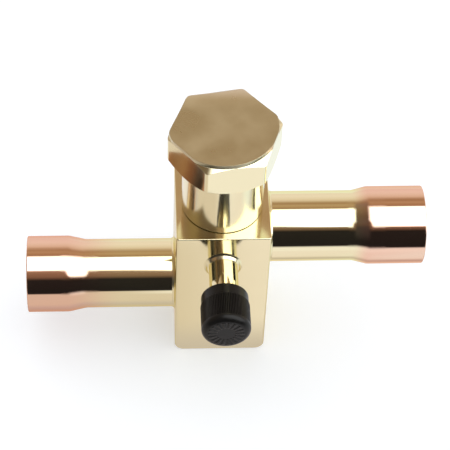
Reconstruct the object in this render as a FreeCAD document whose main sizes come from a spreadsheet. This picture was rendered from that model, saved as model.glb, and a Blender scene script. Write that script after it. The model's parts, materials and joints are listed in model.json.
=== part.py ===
import FreeCAD, Part
import math
import os
import re
import Sketcher

# Refrigerant ball valve with two offset tubes, a hexagon seal cap over the stem and an access
# port in front. Millimetres. The origin is the middle of the block's foot on the stem axis,
# +Z runs up the stem, +X towards the upper tube and -Y towards the access port.

SIZES = {
    # Block
    "block_width": 29.2,
    "block_depth": 30.3,
    "block_height": 57.5,
    "foot_radius": 3.0,
    "upper_socket_cover": 1.1375,
    "lower_axis_height": 22.2,
    "port_axis_drop": 0.6,
    "fit_clearance": 0.05,
    "edge_break": 0.4,
    "block_side_radius": 0.8,
    "block_edge_radius": 0.3,
    # Tubes, brazed into short sockets and swaged at the far ends
    "tube_diameter": 22.225,
    "tube_wall": 1.14,
    "tube_stop_gap": 0.3,
    "upper_tube_reach": 63.4,
    "lower_tube_reach": 61.8,
    "upper_swage_length": 17.6,
    "lower_swage_length": 13.3,
    "upper_taper_length": 4.7,
    "lower_taper_length": 5.4,
    "swage_clearance": 0.06,
    "taper_blend_radius": 4.0,
    "rim_radius": 0.3,
    "braze_fillet": 0.9,
    # Lower bore of the block
    "lower_bore_radius": 9.0,
    "lower_bore_overrun": 6.5,
    "drill_point_height": 3.0,
    # Ball, its seats and their retainer
    "ball_radius": 7.8,
    "ball_port_radius": 4.9,
    "ball_slot_width": 4.0,
    "ball_slot_depth": 1.8,
    "chamber_clearance": 0.5,
    "seat_clearance": 0.12,
    "seat_face_offset": 3.8,
    "seat_back_offset": 7.1,
    "seat_bore_radius": 5.1,
    "backup_ring_radius": 6.5,
    "backup_ring_section": 1.4,
    "backup_groove_depth": 1.5,
    "retainer_radius": 9.2,
    "retainer_bore_radius": 6.2,
    "retainer_thickness": 2.0,
    "retainer_slot_width": 2.0,
    "retainer_slot_depth": 0.9,
    # Neck over the stem
    "neck_radius": 8.8,
    "neck_height": 17.5,
    "neck_relief_radius": 8.0,
    "neck_relief_height": 1.6,
    "neck_chamfer": 0.8,
    "gland_bore_radius": 6.8,
    "gland_floor_height": 6.7,
    "stop_recess_depth": 1.5,
    # Stem
    "stem_bore_radius": 5.2,
    "stem_chamber_gap": 0.1,
    "tang_clearance": 0.1,
    "tang_length": 6.4,
    "shoulder_radius": 6.4,
    "shoulder_thickness": 2.0,
    "stem_top_radius": 4.4,
    "stem_top_clearance": 0.1,
    "stem_round_rise": 1.5,
    "square_across_flats": 6.35,
    "square_length": 7.8,
    "square_chamfer": 0.6,
    "stem_ring_section": 1.4,
    "stem_ring_width": 1.9,
    "lower_ring_rise": 3.0,
    "upper_ring_rise": 7.0,
    "thrust_washer_thickness": 0.8,
    "gland_nut_length": 5.4,
    "gland_slot_width": 2.0,
    "gland_slot_depth": 1.4,
    "stop_pin_radius": 0.8,
    "stop_pin_drop": 0.5,
    "stop_pin_inset": 0.5,
    "stop_clearance": 0.15,
    # Seal cap
    "cap_skirt_radius": 12.68,
    "cap_across_flats": 30.7,
    "cap_turn_angle": 9.8,
    "cap_hex_rise": 21.9,
    "cap_top_rise": 33.95,
    "cap_top_circle_radius": 15.2,
    "cap_top_lip_height": 1.15,
    "cap_top_chamfer_height": 2.35,
    "cap_foot_chamfer_height": 2.2,
    "cap_corner_rounding": 1.5,
    "cap_thread_clearance": 0.3,
    "cap_neck_gap": 1.5,
    "cap_roof_gap": 2.0,
    "cap_roof_radius": 6.5,
    "cap_drill_point_height": 1.8,
    "cap_gasket_thickness": 0.3,
    "cap_gasket_inset": 0.6,
    # Access fitting, measured outwards from the block's front face
    "stub_radius": 4.49,
    "stub_length": 10.4,
    "stub_socket_depth": 5.2,
    "stub_passage_radius": 1.7,
    "port_passage_radius": 1.6,
    "countersink_radius": 5.95,
    "countersink_depth": 1.2,
    "port_braze_rise": 1.1,
    "port_braze_land": 0.4,
    "bevel_length": 1.5,
    "access_thread_radius": 5.5,
    "access_thread_length": 9.8,
    "nose_length": 1.5,
    "nose_radius": 3.7,
    # Valve core in the access fitting
    "core_recess": 0.6,
    "core_head_radius": 2.55,
    "core_head_length": 3.8,
    "core_barrel_radius": 1.9,
    "core_barrel_length": 4.6,
    "core_cavity_radius": 1.45,
    "core_end_wall": 0.8,
    "core_pin_radius": 0.55,
    "core_pin_clearance": 0.1,
    "core_pin_recess": 0.5,
    "core_collar_radius": 1.3,
    "core_collar_length": 0.5,
    "core_collar_drop": 0.5,
    "core_pin_head_radius": 1.5,
    "core_pin_head_length": 0.7,
    "core_pin_seal_thickness": 0.5,
    "core_pin_travel": 1.2,
    "core_seal_length": 0.9,
    "core_well_clearance": 0.3,
    "core_spring_turns": 7,
    "core_wire_radius": 0.16,
    "core_spring_clearance": 0.12,
    # Access cap
    "access_cap_radius": 7.58,
    "access_cap_rim_gap": 0.05,
    "access_cap_end_wall": 1.7,
    "access_cap_clearance": 0.3,
    "access_cap_shoulder_length": 3.9,
    "access_cap_shoulder_inset": 0.28,
    "access_cap_shoulder_radius": 0.9,
    "access_cap_end_radius": 2.0,
    "access_rib_count": 90,
    "access_rib_groove_depth": 0.22,
    "access_rib_groove_width": 0.34,
    "access_rib_end_gap": 2.3,
    "access_gasket_thickness": 1.0,
    "access_gasket_gap": 0.3,
    "access_gasket_inset": 0.15,
}

# Places worked out from the sizes, each measured from its own face or from the row's origin
TUBE_RADIUS = "tube_diameter / 2"
TUBE_BORE_RADIUS = "(tube_diameter / 2 - tube_wall)"
SOCKET_RADIUS = "(tube_diameter / 2 + fit_clearance)"
SWAGE_BORE_RADIUS = "(tube_diameter / 2 + swage_clearance)"
SWAGE_RADIUS = "(tube_diameter / 2 + swage_clearance + tube_wall)"
TUBE_STOP = "(seat_back_offset + retainer_thickness + tube_stop_gap)"
UPPER_AXIS = f"(block_height - upper_socket_cover - {SOCKET_RADIUS})"
PORT_AXIS = f"({UPPER_AXIS} - port_axis_drop)"
CHAMBER_RADIUS = "(ball_radius + chamber_clearance)"
JOURNAL_RADIUS = "(stem_bore_radius - fit_clearance)"
NECK_TOP = "(block_height + neck_height)"
LEDGE = "(block_height + gland_floor_height)"
SHOULDER_FOOT = "(block_height + gland_floor_height + thrust_washer_thickness)"
SHOULDER_TOP = f"({SHOULDER_FOOT} + shoulder_thickness)"
GLAND_FOOT = f"({SHOULDER_TOP} + thrust_washer_thickness)"
JOURNAL_FOOT = f"({UPPER_AXIS} + {CHAMBER_RADIUS} + stem_chamber_gap)"
STOP_PIN_HEIGHT = f"({NECK_TOP} - stop_pin_drop)"
STEM_SQUARE_FOOT = f"({NECK_TOP} + stem_round_rise)"
STEM_TOP = f"({STEM_SQUARE_FOOT} + square_length)"
CAP_RIM = "(block_height + cap_gasket_thickness)"
CAP_CORNER_RADIUS = "(cap_across_flats / 2 / cos(30))"
FRONT_FACE = "(-block_depth / 2)"
BEVEL_END = "(stub_length + bevel_length)"
THREAD_END = f"({BEVEL_END} + access_thread_length)"
NOSE_END = f"({THREAD_END} + nose_length)"
CORE_HEAD_TOP = f"({NOSE_END} - core_recess)"
CORE_HEAD_FOOT = f"({CORE_HEAD_TOP} - core_head_length)"
CORE_BARREL_FOOT = f"({CORE_HEAD_FOOT} - core_barrel_length)"
CORE_WELL_RADIUS = "(core_barrel_radius + core_well_clearance)"
PIN_HEAD_TOP = f"({CORE_BARREL_FOOT} - core_pin_seal_thickness)"
PIN_HEAD_FOOT = f"({PIN_HEAD_TOP} - core_pin_head_length)"
COLLAR_TOP = f"({CORE_HEAD_TOP} - core_end_wall - core_collar_drop)"
COLLAR_FOOT = f"({COLLAR_TOP} - core_collar_length)"
SPRING_FOOT = f"({CORE_BARREL_FOOT} + core_end_wall)"
ACCESS_CAP_RIM = f"({BEVEL_END} + access_cap_rim_gap)"
ACCESS_GASKET_FOOT = f"({NOSE_END} + access_gasket_gap)"
ACCESS_CAP_FLOOR = f"({ACCESS_GASKET_FOOT} + access_gasket_thickness)"
ACCESS_CAP_END = f"({ACCESS_CAP_FLOOR} + access_cap_end_wall)"
ACCESS_CAP_BORE = "(access_thread_radius + access_cap_clearance)"

# Directions that a turned piece's own axis can take in the valve
TURNS = {
    "up": FreeCAD.Rotation(),
    "right": FreeCAD.Rotation(FreeCAD.Vector(0, 1, 0), 90),
    "left": FreeCAD.Rotation(FreeCAD.Vector(0, 1, 0), -90),
    "front": FreeCAD.Rotation(FreeCAD.Vector(1, 0, 0), 90),
}
AT_FRONT_FACE = ("0", FRONT_FACE, PORT_AXIS)

doc = FreeCAD.newDocument("refrigerant_ball_valve")
sheet = doc.addObject("Spreadsheet::Sheet", "Sizes")
for row, (size_name, size_value) in enumerate(SIZES.items(), 1):
    sheet.set(f"A{row}", size_name)
    sheet.set(f"B{row}", str(size_value))
    sheet.setAlias(f"B{row}", size_name)
doc.recompute()

pieces = []


def bound(text):
    """The expression with each size name pointing at its cell."""
    return re.sub(r"[a-z]\w*", lambda m: f"Sizes.{m[0]}" if m[0] in SIZES else m[0], text)


def amount(text):
    """The number that an expression of sizes gives."""
    return float(sheet.evalExpression(bound(text)))


def place(thing, at, toward="up"):
    """Put a piece at a point given by sizes, with its own +Z turned as named."""
    thing.Placement = FreeCAD.Placement(FreeCAD.Vector(), TURNS[toward])
    for axis, text in zip("xyz", at):
        thing.setExpression(f"Placement.Base.{axis}", bound(text))


def new_body(label, at=("0", "0", "0"), toward="up"):
    """An empty body that becomes one piece of the valve."""
    body = doc.addObject("PartDesign::Body", label)
    body.Label = label
    place(body, at, toward)
    pieces.append(body)
    return body


def attach(body, feature, role, shift):
    """Hold a sketch or a primitive to one of its body's origin planes."""
    feature.AttachmentSupport = [(next(f for f in body.Origin.OriginFeatures if f.Role == role), "")]
    feature.MapMode = "FlatFace"
    for axis, text in shift.items():
        feature.setExpression(f"AttachmentOffset.Base.{axis}", bound(text))


def new_sketch(body, name, role="XZ_Plane", **shift):
    """An empty sketch on an origin plane, moved by the expressions in shift."""
    sketch = body.newObject("Sketcher::SketchObject", name)
    attach(body, sketch, role, shift)
    return sketch


def hold_point(sketch, item, end, point):
    """Tie both coordinates of a point to their expressions."""
    for kind, text, axis in (("DistanceX", point[0], -2), ("DistanceY", point[1], -1)):
        if text == "0":
            sketch.addConstraint(Sketcher.Constraint("PointOnObject", item, end, axis))
        else:
            rule = Sketcher.Constraint(kind, -1, 1, item, end, amount(text))
            sketch.setExpression(f"Constraints[{sketch.addConstraint(rule)}]", bound(text))


def add_outline(sketch, points):
    """A closed outline of straight lines through points given by expressions."""
    corners = [FreeCAD.Vector(amount(u), amount(v), 0) for u, v in points]
    first = sketch.GeometryCount
    count = len(corners)
    for i, corner in enumerate(corners):
        sketch.addGeometry(Part.LineSegment(corner, corners[(i + 1) % count]), False)
    for i, point in enumerate(points):
        after = first + (i + 1) % count
        sketch.addConstraint(Sketcher.Constraint("Coincident", first + i, 2, after, 1))
        hold_point(sketch, first + i, 1, point)


def add_circle(sketch, radius, centre=("0", "0")):
    """A circle whose radius and centre are given by expressions."""
    middle = FreeCAD.Vector(amount(centre[0]), amount(centre[1]), 0)
    item = sketch.addGeometry(Part.Circle(middle, FreeCAD.Vector(0, 0, 1), amount(radius)), False)
    rule = sketch.addConstraint(Sketcher.Constraint("Radius", item, amount(radius)))
    sketch.setExpression(f"Constraints[{rule}]", bound(radius))
    hold_point(sketch, item, 3, centre)


def add_box_outline(sketch, low, high):
    """A rectangle between two corners given by expressions."""
    add_outline(sketch, [low, (high[0], low[1]), high, (low[0], high[1])])


def spin(body, kind, name, sketch, axis="V_Axis"):
    """A full revolution or groove of a sketch about one of its own axes."""
    feature = body.newObject(f"PartDesign::{kind}", name)
    feature.Profile = sketch
    feature.ReferenceAxis = (sketch, [axis])
    feature.Angle = 360
    return feature


def turned(body, name, points):
    """A turned blank: an outline of (radius, height) points spun about the body's own Z."""
    sketch = new_sketch(body, f"{name}_profile")
    add_outline(sketch, points)
    return spin(body, "Revolution", name, sketch)


def extrude(body, kind, name, sketch, length=None, reverse=False, both_ways=False):
    """A pad or pocket of a sketch, of a given length or right through."""
    feature = body.newObject(f"PartDesign::{kind}", name)
    feature.Profile = sketch
    if length is None:
        feature.Type = "ThroughAll"
    else:
        feature.setExpression("Length", bound(length))
    feature.Reversed = reverse
    if both_ways:
        feature.Midplane = True
    return feature


def ring(label, inner, outer, thickness, at, toward="up"):
    """A flat washer or gasket, its back face at the given point."""
    body = new_body(label, at, toward)
    turned(body, "ring", [(inner, "0"), (outer, "0"), (outer, thickness), (inner, thickness)])
    return body


def round_ring(label, radius, section, at, toward="up"):
    """A ring of round section, such as a rubber seal in its groove."""
    torus = doc.addObject("Part::Torus", label)
    torus.Label = label
    torus.setExpression("Radius1", bound(radius))
    torus.setExpression("Radius2", bound(f"{section} / 2"))
    place(torus, at, toward)
    pieces.append(torus)
    return torus


def edges_at(feature, test):
    """Names of the feature's edges whose middle passes the test."""
    edges = feature.Shape.Edges
    return [f"Edge{i + 1}" for i, edge in enumerate(edges) if test(edge)]


def fillet(body, name, base, edges, radius):
    """Round the named edges of a feature."""
    feature = body.newObject("PartDesign::Fillet", name)
    feature.Base = (base, edges)
    feature.setExpression("Radius", bound(radius))
    return feature


def is_circle(edge, radius, centre_height):
    """Whether an edge is a circle about Z of this radius at this height of its body."""
    curve = edge.Curve
    if curve.TypeId != "Part::GeomCircle":
        return False
    return abs(curve.Radius - radius) < 0.001 and abs(curve.Center.z - centre_height) < 0.001


def valve_body():
    """The brass block with its threaded neck, two tube sockets, ball chamber and port."""
    body = new_body("valve_body")
    outline = new_sketch(body, "block_outline", "XY_Plane")
    corner = ("block_width / 2", "block_depth / 2")
    add_box_outline(outline, tuple(f"-{text}" for text in corner), corner)
    block = extrude(body, "Pad", "block", outline, "block_height")
    doc.recompute()

    def at_foot(edge):
        box = edge.BoundBox
        return box.ZMax < 0.001 and box.YLength > 1

    foot = fillet(body, "foot_rounding", block, edges_at(block, at_foot), "foot_radius")
    doc.recompute()

    def is_side(edge):
        box = edge.BoundBox
        return box.YLength < 0.001 and box.ZMin < amount("block_height") - 0.001

    sides = fillet(body, "side_rounding", foot, edges_at(foot, is_side), "block_side_radius")
    doc.recompute()

    def is_top(edge):
        return edge.BoundBox.ZMin > amount("block_height") - 0.001

    fillet(body, "top_rounding", sides, edges_at(sides, is_top), "block_edge_radius")

    neck = new_sketch(body, "neck_profile")
    relief_top = "block_height + neck_relief_height"
    add_outline(neck, [
        ("0", "block_height"),
        ("neck_relief_radius", "block_height"),
        ("neck_relief_radius", relief_top),
        ("neck_radius", f"{relief_top} + neck_radius - neck_relief_radius"),
        ("neck_radius", f"{NECK_TOP} - neck_chamfer"),
        ("neck_radius - neck_chamfer", NECK_TOP),
        ("0", NECK_TOP),
    ])
    spin(body, "Revolution", "neck", neck)

    stem_bore = new_sketch(body, "stem_bore_profile")
    add_outline(stem_bore, [
        ("0", "lower_axis_height"),
        ("stem_bore_radius", "lower_axis_height"),
        ("stem_bore_radius", LEDGE),
        ("gland_bore_radius", LEDGE),
        ("gland_bore_radius", f"{NECK_TOP} - edge_break"),
        ("gland_bore_radius + edge_break", NECK_TOP),
        ("0", NECK_TOP),
    ])
    spin(body, "Groove", "stem_bore", stem_bore)

    chamber = new_sketch(body, "chamber_profile", y=UPPER_AXIS)
    ring_inside = "backup_ring_radius - backup_ring_section / 2 - fit_clearance"
    ring_outside = "backup_ring_radius + backup_ring_section / 2 + fit_clearance"
    ring_floor = "-seat_back_offset - backup_groove_depth"
    add_outline(chamber, [
        (f"-{CHAMBER_RADIUS}", "0"),
        (f"-{CHAMBER_RADIUS}", "seat_bore_radius"),
        ("-seat_back_offset", "seat_bore_radius"),
        ("-seat_back_offset", ring_inside),
        (ring_floor, ring_inside),
        (ring_floor, ring_outside),
        ("-seat_back_offset", ring_outside),
        ("-seat_back_offset", CHAMBER_RADIUS),
        ("seat_back_offset", CHAMBER_RADIUS),
        ("seat_back_offset", "retainer_radius + fit_clearance"),
        (TUBE_STOP, "retainer_radius + fit_clearance"),
        (TUBE_STOP, SOCKET_RADIUS),
        ("block_width / 2", SOCKET_RADIUS),
        ("block_width / 2", "0"),
    ])
    spin(body, "Groove", "chamber", chamber, "H_Axis")

    lower = new_sketch(body, "lower_bore_profile", y="lower_axis_height")
    add_outline(lower, [
        ("-block_width / 2", "0"),
        ("-block_width / 2", SOCKET_RADIUS),
        (f"-{TUBE_STOP}", SOCKET_RADIUS),
        (f"-{TUBE_STOP}", "lower_bore_radius"),
        ("lower_bore_overrun", "lower_bore_radius"),
        ("lower_bore_overrun + drill_point_height", "0"),
    ])
    spin(body, "Groove", "lower_bore", lower, "H_Axis")

    port = new_sketch(body, "port_profile", "YZ_Plane", y=PORT_AXIS)
    hole_radius = "stub_radius + fit_clearance"
    hole_floor = f"{FRONT_FACE} + stub_socket_depth"
    add_outline(port, [
        (FRONT_FACE, "0"),
        (FRONT_FACE, "countersink_radius"),
        (f"{FRONT_FACE} + countersink_depth", hole_radius),
        (hole_floor, hole_radius),
        (hole_floor, "port_passage_radius"),
        (f"-{CHAMBER_RADIUS} / 2", "port_passage_radius"),
        (f"-{CHAMBER_RADIUS} / 2", "0"),
    ])
    spin(body, "Groove", "port", port, "H_Axis")

    recess = new_sketch(body, "stop_recess_outline", "XY_Plane", z=NECK_TOP)
    stop_face = "(stop_pin_radius + stop_clearance)"
    add_box_outline(recess, (f"-{stop_face}", "-neck_radius"), ("neck_radius", stop_face))
    extrude(body, "Pocket", "stop_recess", recess, "stop_recess_depth")


def tube(label, toward, height, reach, swage_length, taper_length):
    """A copper tube from its stop in the block to its swaged socket end."""
    sign = "" if toward == "right" else "-"
    body = new_body(label, (f"{sign}{TUBE_STOP}", "0", height), toward)
    end = f"({reach} - {TUBE_STOP})"
    swage_start = f"({end} - {swage_length})"
    taper_start = f"({swage_start} - {taper_length})"
    blank = turned(body, "tube", [
        (TUBE_BORE_RADIUS, "0"),
        (TUBE_RADIUS, "0"),
        (TUBE_RADIUS, taper_start),
        (SWAGE_RADIUS, swage_start),
        (SWAGE_RADIUS, end),
        (SWAGE_BORE_RADIUS, end),
        (SWAGE_BORE_RADIUS, swage_start),
        (TUBE_BORE_RADIUS, taper_start),
    ])
    doc.recompute()
    bends = [(TUBE_RADIUS, taper_start), (SWAGE_RADIUS, swage_start)]
    bends += [(TUBE_BORE_RADIUS, taper_start), (SWAGE_BORE_RADIUS, swage_start)]
    bends = [(amount(radius), amount(rise)) for radius, rise in bends]
    at_bend = edges_at(blank, lambda edge: any(is_circle(edge, *bend) for bend in bends))
    blended = fillet(body, "taper_blend", blank, at_bend, "taper_blend_radius")
    doc.recompute()
    rims = [(amount(SWAGE_RADIUS), amount(end)), (amount(SWAGE_BORE_RADIUS), amount(end))]
    at_rim = edges_at(blended, lambda edge: any(is_circle(edge, *rim) for rim in rims))
    fillet(body, "rim_rounding", blended, at_rim, "rim_radius")


def braze_ring(label, toward, height):
    """The fillet of braze metal where a tube enters the block."""
    sign = "" if toward == "right" else "-"
    body = new_body(label, (f"{sign}block_width / 2", "0", height), toward)
    turned(body, "fillet", [
        (TUBE_RADIUS, "0"),
        (f"{TUBE_RADIUS} + braze_fillet", "0"),
        (f"{TUBE_RADIUS} + braze_fillet / 3", "braze_fillet / 3"),
        (TUBE_RADIUS, "braze_fillet"),
    ])


def ball():
    """The ball: a side port that meets a bottom port, and a slot across its top."""
    body = new_body("ball", ("0", "0", UPPER_AXIS))
    sphere = body.newObject("PartDesign::AdditiveSphere", "sphere")
    sphere.setExpression("Radius", bound("ball_radius"))
    elbow = body.newObject("PartDesign::SubtractiveSphere", "elbow")
    elbow.setExpression("Radius", bound("ball_port_radius"))
    side = new_sketch(body, "side_port_outline", "YZ_Plane")
    add_circle(side, "ball_port_radius")
    extrude(body, "Pocket", "side_port", side, reverse=True)
    bottom = new_sketch(body, "bottom_port_outline", "XY_Plane")
    add_circle(bottom, "ball_port_radius")
    extrude(body, "Pocket", "bottom_port", bottom)
    slot = new_sketch(body, "slot_outline", "XY_Plane", z="ball_radius - ball_slot_depth")
    corner = ("ball_slot_width / 2", "ball_radius")
    add_box_outline(slot, tuple(f"-{text}" for text in corner), corner)
    extrude(body, "Pocket", "slot", slot, reverse=True)


def seat(label, toward):
    """A seat ring whose face is hollowed to the ball."""
    sign = "" if toward == "right" else "-"
    body = new_body(label, (f"{sign}seat_face_offset", "0", UPPER_AXIS), toward)
    outside = f"{CHAMBER_RADIUS} - fit_clearance"
    back = "seat_back_offset - seat_face_offset"
    turned(body, "seat_ring", [
        ("seat_bore_radius", "0"), (outside, "0"), (outside, back), ("seat_bore_radius", back),
    ])
    hollow = body.newObject("PartDesign::SubtractiveSphere", "ball_face")
    attach(body, hollow, "XY_Plane", {"z": "-seat_face_offset"})
    hollow.setExpression("Radius", bound("ball_radius + seat_clearance"))


def seat_retainer():
    """The screwed ring that holds the outlet seat, with a slot for a pin spanner."""
    body = new_body("seat_retainer", ("seat_back_offset", "0", UPPER_AXIS), "right")
    turned(body, "retainer", [
        ("retainer_bore_radius", "0"),
        ("retainer_radius", "0"),
        ("retainer_radius", "retainer_thickness - edge_break"),
        ("retainer_radius - edge_break", "retainer_thickness"),
        ("retainer_bore_radius", "retainer_thickness"),
    ])
    slot = new_sketch(body, "slot_outline", "XY_Plane", z="retainer_thickness")
    corner = ("retainer_slot_width / 2", "retainer_radius")
    add_box_outline(slot, tuple(f"-{text}" for text in corner), corner)
    extrude(body, "Pocket", "slot", slot, "retainer_slot_depth")


def stem():
    """The stem: tang, journal with two ring grooves, shoulder and a square for the key."""
    body = new_body("stem", ("0", "0", JOURNAL_FOOT))
    groove_radius = f"({JOURNAL_RADIUS} - stem_ring_section)"
    shoulder_foot = f"({SHOULDER_FOOT} - {JOURNAL_FOOT})"
    shoulder_top = f"({SHOULDER_TOP} - {JOURNAL_FOOT})"
    top = f"({STEM_TOP} - {JOURNAL_FOOT})"
    outline = [("0", "0"), (JOURNAL_RADIUS, "0")]
    for rise in ("lower_ring_rise", "upper_ring_rise"):
        low, high = f"{rise} - stem_ring_width / 2", f"{rise} + stem_ring_width / 2"
        outline += [(JOURNAL_RADIUS, low), (groove_radius, low)]
        outline += [(groove_radius, high), (JOURNAL_RADIUS, high)]
    outline += [
        (JOURNAL_RADIUS, shoulder_foot),
        ("shoulder_radius", shoulder_foot),
        ("shoulder_radius", shoulder_top),
        ("stem_top_radius", shoulder_top),
        ("stem_top_radius", f"{top} - square_chamfer"),
        ("stem_top_radius - square_chamfer", top),
        ("0", top),
    ]
    turned(body, "stem_blank", outline)

    tang = new_sketch(body, "tang_outline", "XY_Plane")
    corner = ("(ball_slot_width / 2 - tang_clearance)", "tang_length / 2")
    add_box_outline(tang, tuple(f"-{text}" for text in corner), corner)
    slot_floor = f"({UPPER_AXIS} + ball_radius - ball_slot_depth)"
    length = f"{JOURNAL_FOOT} - {slot_floor} - tang_clearance"
    extrude(body, "Pad", "tang", tang, length, reverse=True)

    square = new_sketch(body, "square_outline", "XY_Plane", z=top)
    corner = ("square_across_flats / 2", "square_across_flats / 2")
    add_circle(square, "stem_top_radius * 2")
    add_box_outline(square, tuple(f"-{text}" for text in corner), corner)
    extrude(body, "Pocket", "square", square, "square_length")

    cross = new_sketch(body, "pin_hole_outline", "YZ_Plane", y=f"{STOP_PIN_HEIGHT} - {JOURNAL_FOOT}")
    add_circle(cross, "stop_pin_radius + fit_clearance / 2")
    extrude(body, "Pocket", "pin_hole", cross, both_ways=True)


def stop_pin():
    """The cross pin that stops the stem against the neck at each end of its quarter turn."""
    body = new_body("stop_pin", ("-stem_top_radius", "0", STOP_PIN_HEIGHT), "right")
    length = "stem_top_radius + neck_radius - stop_pin_inset"
    tip = "stop_pin_radius / 4"
    turned(body, "pin", [
        ("0", "0"),
        ("stop_pin_radius", "0"),
        ("stop_pin_radius", f"{length} - {tip}"),
        (f"stop_pin_radius - {tip}", length),
        ("0", length),
    ])


def gland_nut():
    """The nut in the neck that holds the stem's shoulder down."""
    body = new_body("gland_nut", ("0", "0", GLAND_FOOT))
    inside = "stem_top_radius + stem_top_clearance"
    outside = "gland_bore_radius - fit_clearance"
    turned(body, "nut", [
        (inside, "0"),
        (f"{outside} - edge_break", "0"),
        (outside, "edge_break"),
        (outside, "gland_nut_length - edge_break"),
        (f"{outside} - edge_break", "gland_nut_length"),
        (inside, "gland_nut_length"),
    ])
    slot = new_sketch(body, "slot_outline", "XY_Plane", z="gland_nut_length")
    corner = ("gland_slot_width / 2", "gland_bore_radius")
    add_box_outline(slot, tuple(f"-{text}" for text in corner), corner)
    extrude(body, "Pocket", "slot", slot, "gland_slot_depth")


def seal_cap():
    """The hexagon seal cap, hollow over the neck and the stem."""
    body = new_body("seal_cap", ("0", "0", CAP_RIM))
    hex_foot = "(cap_hex_rise - cap_gasket_thickness)"
    top = "(cap_top_rise - cap_gasket_thickness)"
    bore = "neck_radius + cap_thread_clearance"
    bore_top = f"{NECK_TOP} + cap_neck_gap - {CAP_RIM}"
    roof = f"{STEM_TOP} + cap_roof_gap - {CAP_RIM}"
    turned(body, "cap_blank", [
        (bore, "edge_break"),
        (f"{bore} + edge_break", "0"),
        ("cap_skirt_radius", "0"),
        ("cap_skirt_radius", hex_foot),
        ("cap_across_flats / 2", hex_foot),
        (CAP_CORNER_RADIUS, f"{hex_foot} + cap_foot_chamfer_height"),
        (CAP_CORNER_RADIUS, f"{top} - cap_top_chamfer_height"),
        ("cap_across_flats / 2", f"{top} - cap_top_lip_height"),
        ("cap_top_circle_radius", top),
        ("0", top),
        ("0", f"{roof} + cap_drill_point_height"),
        ("cap_roof_radius", roof),
        ("cap_roof_radius", bore_top),
        (bore, bore_top),
    ])
    flats = new_sketch(body, "flats_outline", "XY_Plane", z=top)
    add_circle(flats, f"{CAP_CORNER_RADIUS} * 1.5")
    corners = [f"(cap_turn_angle + {60 * k})" for k in range(6)]
    spoke = CAP_CORNER_RADIUS
    add_outline(flats, [(f"{spoke} * cos{a}", f"{spoke} * sin{a}") for a in corners])
    cut = extrude(body, "Pocket", "flats", flats, f"{top} - {hex_foot}")
    doc.recompute()

    def is_corner(edge):
        box = edge.BoundBox
        upright = box.XLength < 0.001 and box.YLength < 0.001
        return upright and math.hypot(box.Center.x, box.Center.y) > amount("cap_across_flats / 2")

    fillet(body, "corner_rounding", cut, edges_at(cut, is_corner), "cap_corner_rounding")


def access_fitting():
    """The turned fitting in front: a plain stub, a bevel, a thread and a flare nose."""
    body = new_body("access_fitting", AT_FRONT_FACE, "front")
    well_foot = f"{PIN_HEAD_FOOT} - core_pin_travel - core_well_clearance"
    thread_chamfer = f"{BEVEL_END} + edge_break"
    turned(body, "fitting", [
        ("stub_passage_radius", "-stub_socket_depth"),
        ("stub_radius", "-stub_socket_depth"),
        ("stub_radius", "stub_length"),
        ("access_thread_radius", thread_chamfer),
        ("access_thread_radius", THREAD_END),
        ("nose_radius", NOSE_END),
        ("core_head_radius + fit_clearance", NOSE_END),
        ("core_head_radius + fit_clearance", CORE_HEAD_FOOT),
        (CORE_WELL_RADIUS, f"{CORE_HEAD_FOOT} - core_seal_length"),
        (CORE_WELL_RADIUS, well_foot),
        ("stub_passage_radius", well_foot),
    ])


def access_braze_ring():
    """Braze metal that fills the countersink round the fitting and rises to a small collar."""
    body = new_body("access_braze_ring", AT_FRONT_FACE, "front")
    turned(body, "braze", [
        ("stub_radius", "-countersink_depth"),
        ("stub_radius + fit_clearance", "-countersink_depth"),
        ("countersink_radius", "0"),
        ("(countersink_radius + stub_radius + port_braze_land) / 2", "port_braze_rise / 3"),
        ("stub_radius + port_braze_land", "port_braze_rise"),
        ("stub_radius", "port_braze_rise"),
    ])


def core_body():
    """The valve core's brass body: a threaded head and a barrel that holds the spring."""
    body = new_body("core_body", AT_FRONT_FACE, "front")
    pin_hole = "core_pin_radius + core_pin_clearance"
    turned(body, "core", [
        (pin_hole, CORE_BARREL_FOOT),
        ("core_barrel_radius", CORE_BARREL_FOOT),
        ("core_barrel_radius", CORE_HEAD_FOOT),
        ("core_head_radius", CORE_HEAD_FOOT),
        ("core_head_radius", CORE_HEAD_TOP),
        (pin_hole, CORE_HEAD_TOP),
        (pin_hole, f"{CORE_HEAD_TOP} - core_end_wall"),
        ("core_cavity_radius", f"{CORE_HEAD_TOP} - core_end_wall"),
        ("core_cavity_radius", SPRING_FOOT),
        (pin_hole, SPRING_FOOT),
    ])


def core_seal():
    """The tapered seal ring between the core's barrel and the fitting's bore."""
    body = new_body("core_seal", AT_FRONT_FACE, "front")
    foot = f"{CORE_HEAD_FOOT} - core_seal_length"
    turned(body, "seal", [
        ("core_barrel_radius", foot),
        (CORE_WELL_RADIUS, foot),
        ("core_head_radius", CORE_HEAD_FOOT),
        ("core_barrel_radius", CORE_HEAD_FOOT),
    ])


def core_pin():
    """The core's pin, with a collar that the spring lifts and a head that closes the core."""
    body = new_body("core_pin", AT_FRONT_FACE, "front")
    tip = f"{NOSE_END} - core_pin_recess + core_pin_radius / 2"
    turned(body, "pin", [
        ("0", PIN_HEAD_FOOT),
        ("core_pin_head_radius", PIN_HEAD_FOOT),
        ("core_pin_head_radius", PIN_HEAD_TOP),
        ("core_pin_radius", PIN_HEAD_TOP),
        ("core_pin_radius", COLLAR_FOOT),
        ("core_collar_radius", COLLAR_FOOT),
        ("core_collar_radius", COLLAR_TOP),
        ("core_pin_radius", COLLAR_TOP),
        ("core_pin_radius", f"{NOSE_END} - core_pin_recess"),
        ("core_pin_radius / 2", tip),
        ("0", tip),
    ])


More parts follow.
